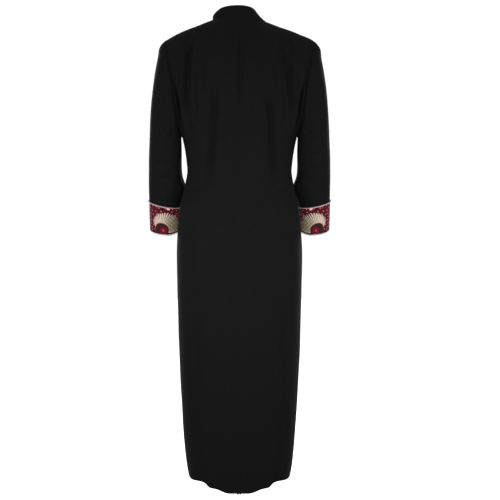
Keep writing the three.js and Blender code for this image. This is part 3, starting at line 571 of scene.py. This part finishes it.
creases = {
    "back": [
        {"path": [(-4, -18), (-6, -70), (-6, -115), (-4, -170), (1, -262)],
         "depth": 4.2, "spread": 7, "ridge": 0.3},
        {"path": [(109, -36), (127, -76), (139, -110), (144, -178), (146, -225), (140, -280)],
         "depth": 11.0, "spread": 8.5, "ridge": 0.2},
        {"path": [(146, -225), (139, -290), (131, -350)], "depth": 4.2, "spread": 8, "ridge": 0.3},
        {"path": [(116, -112), (121, -186), (119, -252), (125, -330)],
         "depth": 4.8, "spread": 6, "ridge": 0.3},
        {"path": [(161, -112), (165, -160), (166, -225)], "depth": 3.8, "spread": 6, "ridge": 0.3},
        {"path": [(70, -160), (67, -252), (72, -340), (81, -417), (94, -486)],
         "depth": 8.2, "spread": 8, "ridge": 0.35},
        {"path": [(95, -124), (93, -235)], "depth": 2.8, "spread": 5.5, "ridge": 0.3},
        {"path": [(126, -262), (112, -235), (108, -190)], "depth": 1.8, "spread": 5, "ridge": 0.3},
        {"path": [(-94, -30), (-112, -72), (-127, -115), (-139, -186), (-146, -252), (-147, -316)],
         "depth": 11.5, "spread": 8.5, "ridge": 0.2},
        {"path": [(-135, -50), (-142, -85), (-148, -120)], "depth": 3.0, "spread": 5, "ridge": 0.3},
        {"path": [(-104, -62), (-117, -140), (-123, -200), (-128, -263), (-123, -330)],
         "depth": 5.2, "spread": 6, "ridge": 0.3},
        {"path": [(-165, -140), (-164, -190), (-160, -255)], "depth": 4.0, "spread": 6.5, "ridge": 0.3},
        {"path": [(-76, -185), (-86, -280), (-89, -335), (-94, -417), (-104, -480)],
         "depth": 7.6, "spread": 8, "ridge": 0.35},
        {"path": [(-97, -118), (-100, -225)], "depth": 2.8, "spread": 5.5, "ridge": 0.3},
        {"path": [(-36, -22), (-44, -60)], "depth": 1.2, "spread": 5, "ridge": 0.2},
        {"path": [(141, -484), (120, -482), (99, -476)], "depth": 2.6, "spread": 6, "ridge": 0.5},
        {"path": [(138, -506), (118, -514), (102, -530)], "depth": 1.6, "spread": 7, "ridge": 0.5},
        {"path": [(-98, -482), (-119, -480), (-141, -474)], "depth": 2.6, "spread": 6, "ridge": 0.5},
        {"path": [(-60, -560), (-80, -548), (-104, -552)], "depth": 1.8, "spread": 9, "ridge": 0.5},
        {"path": [(117, -740), (117, -1039), (112, -1121), (101, -1237)],
         "depth": 2.6, "spread": 9, "ridge": 0.3},
        {"path": [(-125, -720), (-125, -1039), (-114, -1138), (-108, -1229)],
         "depth": 2.6, "spread": 9, "ridge": 0.3},
        {"path": [(-20, -640), (-16, -700), (-18, -760)], "depth": 1.4, "spread": 10, "ridge": 0.3},
        {"path": [(206, -72), (194, -140), (183, -190), (175, -240), (167, -300), (163, -329)],
         "depth": 3.6, "spread": 5.5, "ridge": 0.35},
        {"path": [(-206, -72), (-194, -140), (-183, -190), (-175, -240), (-167, -300), (-163, -329)],
         "depth": 3.6, "spread": 5.5, "ridge": 0.35},
        {"path": [(186, -175), (175, -240), (165, -318), (160, -350)],
         "depth": 9.0, "spread": 8, "ridge": 0.2},
        {"path": [(-186, -175), (-175, -240), (-165, -318), (-160, -350)],
         "depth": 9.0, "spread": 8, "ridge": 0.2},
        {"path": [(176, -300), (190, -328), (206, -348)], "depth": 2.0, "spread": 6, "ridge": 0.4},
        {"path": [(-174, -288), (-190, -322), (-212, -344)], "depth": 2.0, "spread": 6, "ridge": 0.4},
        {"path": [(184, -362), (208, -378), (238, -376)], "depth": 1.5, "spread": 6, "ridge": 0.5},
        {"path": [(240, -404), (216, -414), (188, -408)], "depth": 1.7, "spread": 6, "ridge": 0.5},
        {"path": [(180, -436), (206, -450), (236, -442)], "depth": 1.4, "spread": 6, "ridge": 0.5},
        {"path": [(-184, -372), (-206, -384), (-236, -388)], "depth": 1.7, "spread": 6, "ridge": 0.5},
        {"path": [(-242, -420), (-214, -424), (-186, -416)], "depth": 1.5, "spread": 6, "ridge": 0.5},
        {"path": [(-178, -450), (-204, -464), (-232, -458)], "depth": 1.3, "spread": 6, "ridge": 0.5},
        {"path": [(226, -140), (236, -220), (240, -300)], "depth": 1.2, "spread": 8, "ridge": 0.3},
        {"path": [(-222, -150), (-234, -240), (-238, -310)], "depth": 1.3, "spread": 8, "ridge": 0.3},
    ],
    "front": [
        {"path": [(128, -44), (140, -100), (146, -165), (142, -235), (135, -300)],
         "depth": 5.4, "spread": 7.5, "ridge": 0.4},
        {"path": [(82, -250), (82, -320), (86, -410), (96, -485), (103, -540)],
         "depth": 4.6, "spread": 7, "ridge": 0.4},
        {"path": [(112, -150), (116, -220), (110, -300)], "depth": 2.2, "spread": 5.5, "ridge": 0.35},
        {"path": [(62, -112), (54, -205), (52, -330)], "depth": 1.8, "spread": 6, "ridge": 0.3},
        {"path": [(140, -478), (118, -474), (100, -482)], "depth": 2.4, "spread": 6, "ridge": 0.5},
        {"path": [(60, -620), (66, -840), (70, -1060), (74, -1240)],
         "depth": 2.4, "spread": 9, "ridge": 0.3},
        {"path": [(118, -720), (116, -980), (108, -1210)], "depth": 2.4, "spread": 9, "ridge": 0.3},
        {"path": [(-118, -40), (-136, -95), (-143, -165), (-140, -245), (-133, -305)],
         "depth": 5.0, "spread": 7.5, "ridge": 0.4},
        {"path": [(-82, -262), (-80, -335), (-86, -418), (-97, -488)],
         "depth": 4.2, "spread": 7, "ridge": 0.4},
        {"path": [(-106, -130), (-114, -215), (-112, -280)],
         "depth": 2.0, "spread": 5.5, "ridge": 0.35},
        {"path": [(-56, -120), (-55, -230), (-49, -345)], "depth": 1.6, "spread": 6, "ridge": 0.3},
        {"path": [(-142, -482), (-121, -479), (-101, -472)], "depth": 2.4, "spread": 6, "ridge": 0.5},
        {"path": [(-56, -650), (-66, -860), (-70, -1100), (-76, -1250)],
         "depth": 2.4, "spread": 9, "ridge": 0.3},
        {"path": [(-121, -700), (-119, -990), (-110, -1220)], "depth": 2.2, "spread": 9, "ridge": 0.3},
        {"path": [(206, -72), (194, -140), (183, -190), (175, -240), (167, -300), (163, -329)],
         "depth": 3.0, "spread": 5, "ridge": 0.35},
        {"path": [(-206, -72), (-194, -140), (-183, -190), (-175, -240), (-167, -300), (-163, -329)],
         "depth": 3.0, "spread": 5, "ridge": 0.35},
        {"path": [(180, -348), (204, -366), (238, -362)], "depth": 2.4, "spread": 6, "ridge": 0.5},
        {"path": [(242, -392), (216, -404), (184, -392)], "depth": 2.8, "spread": 6, "ridge": 0.5},
        {"path": [(182, -420), (208, -434), (240, -424)], "depth": 2.2, "spread": 6, "ridge": 0.5},
        {"path": [(-180, -340), (-206, -360), (-236, -366)], "depth": 2.4, "spread": 6, "ridge": 0.5},
        {"path": [(-242, -384), (-214, -398), (-184, -386)], "depth": 2.6, "spread": 6, "ridge": 0.5},
        {"path": [(-180, -414), (-206, -430), (-238, -432)], "depth": 2.3, "spread": 6, "ridge": 0.5},
    ],
}
creaseFade = 3.2
ridgePlace = 1.9
facingSharpness = 2.5

# Places where a sleeve stands out a little further: x and z, height, and half width and half length in
# millimetres.

fullness = [
    {"place": (227, -78), "height": 3.8, "spread": (17, 17)},
    {"place": (-227, -82), "height": 4.8, "spread": (17, 17)},
    {"place": (169, -380), "height": 2.8, "spread": (12, 42)},
    {"place": (167, -445), "height": 2.8, "spread": (12, 40)},
    {"place": (162, -472), "height": 4.0, "spread": (14, 18)},
    {"place": (-169, -380), "height": 2.8, "spread": (12, 42)},
    {"place": (-168, -445), "height": 3.0, "spread": (12, 40)},
    {"place": (-162, -471), "height": 5.4, "spread": (14, 20)},
]

# Shallow unevenness all over the cloth, longer down than across: sizes and depth in millimetres.

rumples = {"across": 34, "down": 110, "depth": 1.1}


def pathDistance(points, path):
    # Returns each point's distance from a path, and how far along the path it is, from 0 to 1.
    nearest = np.full(len(points), 1e9)
    share = np.zeros(len(points))
    corners = np.array(path, float)
    lengths = np.linalg.norm(np.diff(corners, axis=0), axis=1)
    total = lengths.sum()
    done = 0.0
    for start, end, length in zip(corners[:-1], corners[1:], lengths):
        along = (end - start) / length
        travel = np.clip((points - start) @ along, 0, length)
        foot = start + travel[:, None] * along
        distance = np.linalg.norm(points - foot, axis=1)
        closer = distance < nearest
        nearest[closer] = distance[closer]
        share[closer] = (done + travel[closer]) / total
        done += length
    return nearest, share


def creaseDepth(points, rows):
    depth = np.zeros(len(points))
    for row in rows:
        distance, share = pathDistance(points, row["path"])
        fade = np.clip(np.minimum(share, 1 - share) * creaseFade, 0, 1)
        fade = fade * fade * (3 - 2 * fade)
        trough = np.exp(-((distance / row["spread"]) ** 2))
        beside = np.exp(-((distance / row["spread"] - ridgePlace) ** 2))
        depth += row["depth"] * fade * (trough - row["ridge"] * beside)
    return depth


# Every cloth piece starts from the outer wall of its CAD solid: the faces that are reached from the
# outermost one without crossing a sharp edge.

mergeDistance = 1e-5
facingShare = 0.8
sharpEdge = math.radians(50)


def mergedCopy(node):
    mesh = bmesh.new()
    mesh.from_mesh(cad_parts[node].data)
    bmesh.ops.remove_doubles(mesh, verts=mesh.verts, dist=mergeDistance)
    return mesh


def joinTriangles(mesh):
    bmesh.ops.join_triangles(
        mesh, faces=mesh.faces, angle_face_threshold=math.pi, angle_shape_threshold=math.pi
    )


def outerWall(node, outward):
    mesh = mergedCopy(node)
    mesh.normal_update()
    facing = [face for face in mesh.faces if face.normal.dot(outward) > facingShare]
    first = max(facing, key=lambda face: face.calc_center_median().dot(outward))
    kept = {first}
    waiting = [first]
    while waiting:
        face = waiting.pop()
        for edge in face.edges:
            for other in edge.link_faces:
                if other not in kept and other.normal.angle(face.normal) < sharpEdge:
                    kept.add(other)
                    waiting.append(other)
    bmesh.ops.delete(mesh, geom=[face for face in mesh.faces if face not in kept], context="FACES")
    joinTriangles(mesh)
    return mesh


def newPiece(name, mesh, material):
    data = bpy.data.meshes.new(name)
    mesh.to_mesh(data)
    mesh.free()
    data.materials.append(material)
    data.shade_smooth()
    piece = bpy.data.objects.new(name, data)
    bpy.context.scene.collection.objects.link(piece)
    return piece


def applyModifiers(piece):
    depsgraph = bpy.context.evaluated_depsgraph_get()
    data = bpy.data.meshes.new_from_object(piece.evaluated_get(depsgraph))
    piece.modifiers.clear()
    piece.data = data


def subdivide(piece, levels):
    modifier = piece.modifiers.new("smooth", "SUBSURF")
    modifier.levels = levels
    modifier.render_levels = levels
    modifier.boundary_smooth = "PRESERVE_CORNERS"
    applyModifiers(piece)


def meshPoints(piece):
    points = np.zeros(len(piece.data.vertices) * 3)
    piece.data.vertices.foreach_get("co", points)
    return points.reshape(-1, 3)


def meshNormals(piece):
    normals = np.zeros(len(piece.data.vertices) * 3)
    piece.data.vertex_normals.foreach_get("vector", normals)
    return normals.reshape(-1, 3)


def setPoints(piece, points):
    piece.data.vertices.foreach_set("co", points.ravel())
    piece.data.update()


def addValue(piece, name, values):
    attribute = piece.data.attributes.new(name, "FLOAT", "POINT")
    attribute.data.foreach_set("value", np.asarray(values, np.float32))


def lookupTree(places):
    tree = KDTree(len(places))
    for index, place in enumerate(places):
        tree.insert(place, index)
    tree.balance()
    return tree


def distanceFrom(points, places):
    tree = lookupTree(places)
    return np.array([tree.find(point)[2] for point in points])


# The cloth's thickness, and how its edges turn in, pass under their neighbours or fold back.

clothThickness = 0.8 * millimetre
edgeTurn = 1.8 * millimetre
edgeDrop = 0.5 * millimetre
edgeFold = 6 * millimetre
edgeCorner = math.radians(50)
seamAllowance = 3.5 * millimetre


def edgeDirection(vertex):
    # Returns the way off the cloth at a border point, along the surface, or nothing at a sharp corner.
    edges = [edge for edge in vertex.link_edges if edge.is_boundary]
    before, after = (edge.other_vert(vertex).co for edge in edges)
    if (before - vertex.co).angle(vertex.co - after) > edgeCorner:
        return Vector((0, 0, 0))
    along = (after - before).normalized()
    faces = vertex.link_faces
    inside = sum((face.calc_center_median() for face in faces), Vector()) / len(faces)
    away = vertex.co - inside
    away -= along * away.dot(along)
    away -= vertex.normal * away.dot(vertex.normal)
    return away.normalized()


def extrudeBorder(mesh, moves):
    # Extrudes the border and moves each new point by the move of the border point it came from.
    sources = list(moves)
    places = lookupTree([vertex.co for vertex in sources])
    edges = [edge for edge in mesh.edges if edge.is_boundary]
    made = bmesh.ops.extrude_edge_only(mesh, edges=edges)["geom"]
    grown = {}
    for item in made:
        if isinstance(item, bmesh.types.BMVert):
            source = sources[places.find(item.co)[1]]
            grown[item] = source
    for vertex, source in grown.items():
        vertex.co += moves[source]
    return grown


def thicken(piece, isSeam):
    # At a seam the cloth turns in and passes under its neighbour, and a free edge is folded back inside.
    mesh = bmesh.new()
    mesh.from_mesh(piece.data)
    mesh.normal_update()
    border = [vertex for vertex in mesh.verts if vertex.is_boundary]
    inwards = {vertex: -vertex.normal.copy() for vertex in border}
    onward = {}
    for vertex in border:
        reach = seamAllowance if isSeam(vertex.co) else -edgeFold
        onward[vertex] = edgeDirection(vertex) * reach + inwards[vertex] * edgeDrop
    for edge in mesh.edges:
        if edge.is_boundary and all(isSeam(vertex.co) for vertex in edge.verts):
            edge.smooth = False
    first = extrudeBorder(mesh, {vertex: inwards[vertex] * edgeTurn for vertex in border})
    extrudeBorder(mesh, {vertex: onward[source] for vertex, source in first.items()})
    mesh.normal_update()
    mesh.to_mesh(piece.data)
    mesh.free()
    modifier = piece.modifiers.new("cloth", "SOLIDIFY")
    modifier.thickness = clothThickness
    modifier.offset = -1
    applyModifiers(piece)


# The panels, sleeves and collar. flat is the size that each was cut to, in metres.

blackPieces = {
    "back_left": {"outward": (0, 1, 0), "levels": 3, "flat": (0.24, 1.34), "held": "hung"},
    "back_right": {"outward": (0, 1, 0), "levels": 3, "flat": (0.24, 1.34), "held": "hung"},
    "front_left": {"outward": (0, -1, 0), "levels": 3, "flat": (0.24, 1.34), "held": "hung"},
    "front_right": {"outward": (0, -1, 0), "levels": 3, "flat": (0.24, 1.34), "held": "hung"},
    "sleeve_left": {"outward": (1, 0, 0), "levels": 3, "flat": (0.29, 0.42), "held": "hung"},
    "sleeve_right": {"outward": (-1, 0, 0), "levels": 3, "flat": (0.29, 0.42), "held": "hung"},
    "collar": {"outward": (0, 1, 0), "levels": 3, "flat": (0.43, 0.036), "held": "hung"},
}


def borderNumbers(piece):
    mesh = bmesh.new()
    mesh.from_mesh(piece.data)
    found = np.array([vertex.index for vertex in mesh.verts if vertex.is_boundary])
    mesh.free()
    return found


def borderEdges(piece):
    mesh = bmesh.new()
    mesh.from_mesh(piece.data)
    found = [[vertex.index for vertex in edge.verts] for edge in mesh.edges if edge.is_boundary]
    mesh.free()
    return np.array(found)


# How an edge rolls in, over how wide a strip, how far a seam's two edges look for each other and how much
# of the way they move together, and how far from the seam that fades out.

seamRoll = 0.35 * millimetre
seamWidth = 3 * millimetre
seamReach = 2.6 * millimetre
seamSamples = 8
seamShare = 0.85
seamBlend = 12 * millimetre


def creaseMoves(piece):
    # Returns how far each point of a piece goes in for the creases and the roll at its edges.
    points = meshPoints(piece)
    normals = meshNormals(piece)
    flat = points[:, [0, 2]] / millimetre
    depth = np.zeros(len(points))
    for side, sign in (("back", 1), ("front", -1)):
        facing = np.clip(normals[:, 1] * sign * facingSharpness, 0, 1)
        depth += facing * creaseDepth(flat, creases[side])
    for row in fullness if "sleeve" in piece.name else []:
        distance = np.linalg.norm((flat - row["place"]) / row["spread"], axis=1)
        depth -= row["height"] * np.exp(-(distance ** 2))
    size = (rumples["across"], rumples["across"], rumples["down"])
    uneven = [cloudNoise.noise(Vector(place)) for place in points / millimetre / size]
    depth += np.array(uneven) * rumples["depth"]
    fromEdge = distanceFrom(points, points[borderNumbers(piece)])
    roll = seamRoll * np.clip(1 - fromEdge / seamWidth, 0, 1) ** 2
    return -normals * (depth * millimetre + roll)[:, None]


def matchSeams(pieces, moves):
    # Two pieces that meet at a seam move alike there, so that the seam stays shut. Each border is looked
    # up at several places along every edge.
    places, owners, shifts = [], [], []
    for name, piece in pieces.items():
        edges = borderEdges(piece)
        points = meshPoints(piece)
        for share in np.linspace(0, 1, seamSamples, endpoint=False):
            places.extend(points[edges[:, 0]] * (1 - share) + points[edges[:, 1]] * share)
            shifts.extend(moves[name][edges[:, 0]] * (1 - share) + moves[name][edges[:, 1]] * share)
            owners.extend([name] * len(edges))
    tree = lookupTree(places)
    for name, piece in pieces.items():
        border = borderNumbers(piece)
        points = meshPoints(piece)
        changes = np.zeros((len(border), 3))
        for row, number in enumerate(border):
            others = {}
            for place, index, distance in tree.find_range(points[number], seamReach):
                owner = owners[index]
                if owner != name and (owner not in others or distance < others[owner][0]):
                    others[owner] = (distance, index)
            if not others:
                continue
            group = [(points[number], moves[name][number])]
            group += [(places[index], shifts[index]) for distance, index in others.values()]
            middle = np.mean([place + shift for place, shift in group], axis=0)
            changes[row] = seamShare * (middle - points[number] - moves[name][number])
        nearest = lookupTree(points[border])
        for number, point in enumerate(points):
            place, row, distance = nearest.find(point)
            if distance < seamBlend:
                fade = 1 - distance / seamBlend
                moves[name][number] += changes[row] * fade * fade * (3 - 2 * fade)


def buildBlackPieces(material):
    pieces = {}
    for name, settings in blackPieces.items():
        pieces[name] = newPiece(name + "_cloth", outerWall(name, Vector(settings["outward"])), material)
        subdivide(pieces[name], settings["levels"])
    roundCollar(pieces["collar"], [piece for name, piece in pieces.items() if name != "collar"])
    moves = {name: creaseMoves(piece) for name, piece in pieces.items()}
    matchSeams(pieces, moves)
    print("creased", len(pieces), "black pieces and matched their seams")
    borders = {}
    for name, piece in pieces.items():
        addStitchPlaces(piece, name)
        setPoints(piece, meshPoints(piece) + moves[name])
        borders[name] = meshPoints(piece)[borderNumbers(piece)]
    for name, settings in blackPieces.items():
        piece = pieces[name]
        others = np.concatenate([points for other, points in borders.items() if other != name])
        near = lookupTree(others)
        thicken(piece, lambda point: near.find(point)[2] < 2 * seamReach)
        finishSheet(piece, name)
        print("made", piece.name, len(piece.data.polygons))


# The collar stands up at its foot and rolls in towards a rounded top. The moves outwards are in
# millimetres at the given shares of its height, full at the neck points, which lie at the given reach
# at the foot and the top. The top drops towards them while its middle rises.

collarRoll = {
    "share": (0, 0.33, 0.66, 1),
    "left": {"outward": (1.5, 5, 2.4, -4), "reach": (76, 62), "drop": 6.5},
    "right": {"outward": (0, 0, 0, -1), "reach": (76, 44), "drop": 1.5},
    "middleRise": 1,
}


def roundCollar(piece, neighbours):
    points = meshPoints(piece)
    border = points[borderNumbers(piece)]
    around = np.concatenate([meshPoints(other)[borderNumbers(other)] for other in neighbours])
    foot = distanceFrom(border, around) < 2 * seamReach
    fromFoot = distanceFrom(points, border[foot])
    share = fromFoot / (fromFoot + distanceFrom(points, border[~foot]))
    for sign, side in ((1, "left"), (-1, "right")):
        roll = collarRoll[side]
        here = points[:, 0] * sign > 0
        reach = np.interp(share, (0, 1), roll["reach"])
        part = np.clip(points[:, 0] * sign / millimetre / reach, 0, 1)
        outward = np.interp(share, collarRoll["share"], roll["outward"]) * part * part
        lift = collarRoll["middleRise"] * (1 - part * part) - roll["drop"] * part ** 3
        points[here, 0] += (sign * outward * millimetre)[here]
        points[here, 2] += (lift * share * share * millimetre)[here]
    setPoints(piece, points)


# Distances from the hem and from the front edge, for the stitched lines. Border points under hemTop are
# on the hem.

hemTop = -1.2
frontEdge = 0.6 * millimetre
farAway = 900.0


def addStitchPlaces(piece, name):
    points = meshPoints(piece)
    border = points[borderNumbers(piece)]
    isPanel = "front" in name or "back" in name
    hem = border[border[:, 2] < hemTop] if isPanel else []
    front = border[np.abs(border[:, 0]) < frontEdge] if "front" in name else []
    for value, edge in (("from_hem", hem), ("from_front", front)):
        distance = distanceFrom(points, edge) / millimetre if len(edge) else np.full(len(points), farAway)
        addValue(piece, value, distance)
    addValue(piece, "across", points[:, 0] / millimetre)
    addValue(piece, "height", points[:, 2] / millimetre)


def finishSheet(piece, node):
    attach(piece, "root")
    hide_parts(node)


# The cuffs. fanTurn is where the middle of the fan is, in degrees round from straight behind, and
# cuffLift raises the lower edge over the last part of its way in, in millimetres.

cuffs = {
    "cuff_left": {"outward": (1, 0, 0), "side": 1, "levels": 3, "flat": (0.3, 0.08), "held": "hung"},
    "cuff_right": {"outward": (-1, 0, 0), "side": -1, "levels": 3, "flat": (0.3, 0.08), "held": "hung"},
}
fanTurn = 10.5
cuffSeam = math.radians(-105)
cuffHeight = 76
cuffLift = {"from": 0.6, "height": 6.5}


def aroundCuff(points, bottom, side):
    # Returns how far each point is round the lower edge from the middle of the fan, in millimetres, how
    # far from the cuff's own seam at its inner side, where that distance starts again, and how long the
    # edge is.
    centre = (np.max(bottom, axis=0) + np.min(bottom, axis=0)) / 2

    def turnOf(places):
        turn = np.arctan2(side * (places - centre)[:, 0], (places - centre)[:, 1])
        return np.where(turn < cuffSeam, turn + 2 * math.pi, turn)

    turns = turnOf(bottom)
    order = np.argsort(turns)
    ring = bottom[order]
    steps = np.linalg.norm(ring - np.roll(ring, 1, axis=0), axis=1)
    lengths = np.cumsum(steps) / millimetre
    total = lengths[-1]
    turns = np.concatenate([turns[order] - 2 * math.pi, turns[order], turns[order] + 2 * math.pi])
    lengths = np.concatenate([lengths - total, lengths, lengths + total])
    start, seam = np.interp([math.radians(fanTurn), cuffSeam], turns, lengths)
    place = np.interp(turnOf(points), turns, lengths)
    return place - start, np.minimum(place - seam, total - place + seam), total


def liftInnerEnd(piece):
    # The cuff's lower edge rises a little towards the body.
    points = meshPoints(piece)
    inward = np.abs(points[:, 0])
    inward = (inward.max() - inward) / (inward.max() - inward.min())
    down = 1 - (points[:, 2] - points[:, 2].min()) / max(np.ptp(points[:, 2]), cuffHeight * millimetre)
    part = np.clip((inward - cuffLift["from"]) / (1 - cuffLift["from"]), 0, 1)
    points[:, 2] += cuffLift["height"] * millimetre * part * part * (3 - 2 * part) * down * down
    setPoints(piece, points)


def placeOnCuff(piece, side):
    points = meshPoints(piece)
    border = points[borderNumbers(piece)]
    middle = border[:, 2].mean()
    top = border[border[:, 2] > middle]
    bottom = border[border[:, 2] < middle]
    fromBottom = distanceFrom(points, bottom)
    up = cuffHeight * fromBottom / (fromBottom + distanceFrom(points, top))
    around, fromSeam, total = aroundCuff(points, bottom, side)
    addValue(piece, "around", around)
    addValue(piece, "from_seam", fromSeam)
    addValue(piece, "up", up)
    return total


def buildCuffs(material):
    for name, settings in cuffs.items():
        piece = newPiece(name + "_cloth", outerWall(name, Vector(settings["outward"])), material)
        subdivide(piece, settings["levels"])
        liftInnerEnd(piece)
        length = placeOnCuff(piece, settings["side"])
        thicken(piece, lambda point: False)
        finishSheet(piece, name)
        print("made", piece.name, len(piece.data.polygons), "length", length)


# The cords over the cuffs' two edges.

cordLevels = 2


def buildPiping(material):
    for side in ("left", "right"):
        for edge in ("top", "bottom"):
            node = f"cuff_piping_{edge}_{side}"
            mesh = mergedCopy(node)
            joinTriangles(mesh)
            piece = newPiece(node + "_cord", mesh, material)
            subdivide(piece, cordLevels)
            if edge == "bottom":
                liftInnerEnd(piece)
            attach(piece, "root")
            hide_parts(node)
            print("made", piece.name, len(piece.data.polygons))


placeCamera(camera)
buildStudio(studio)
buildBlackPieces(blackMaterial(blackCloth))
buildCuffs(brocadeMaterial(brocade))
buildPiping(pipingMaterial(pipingCord))
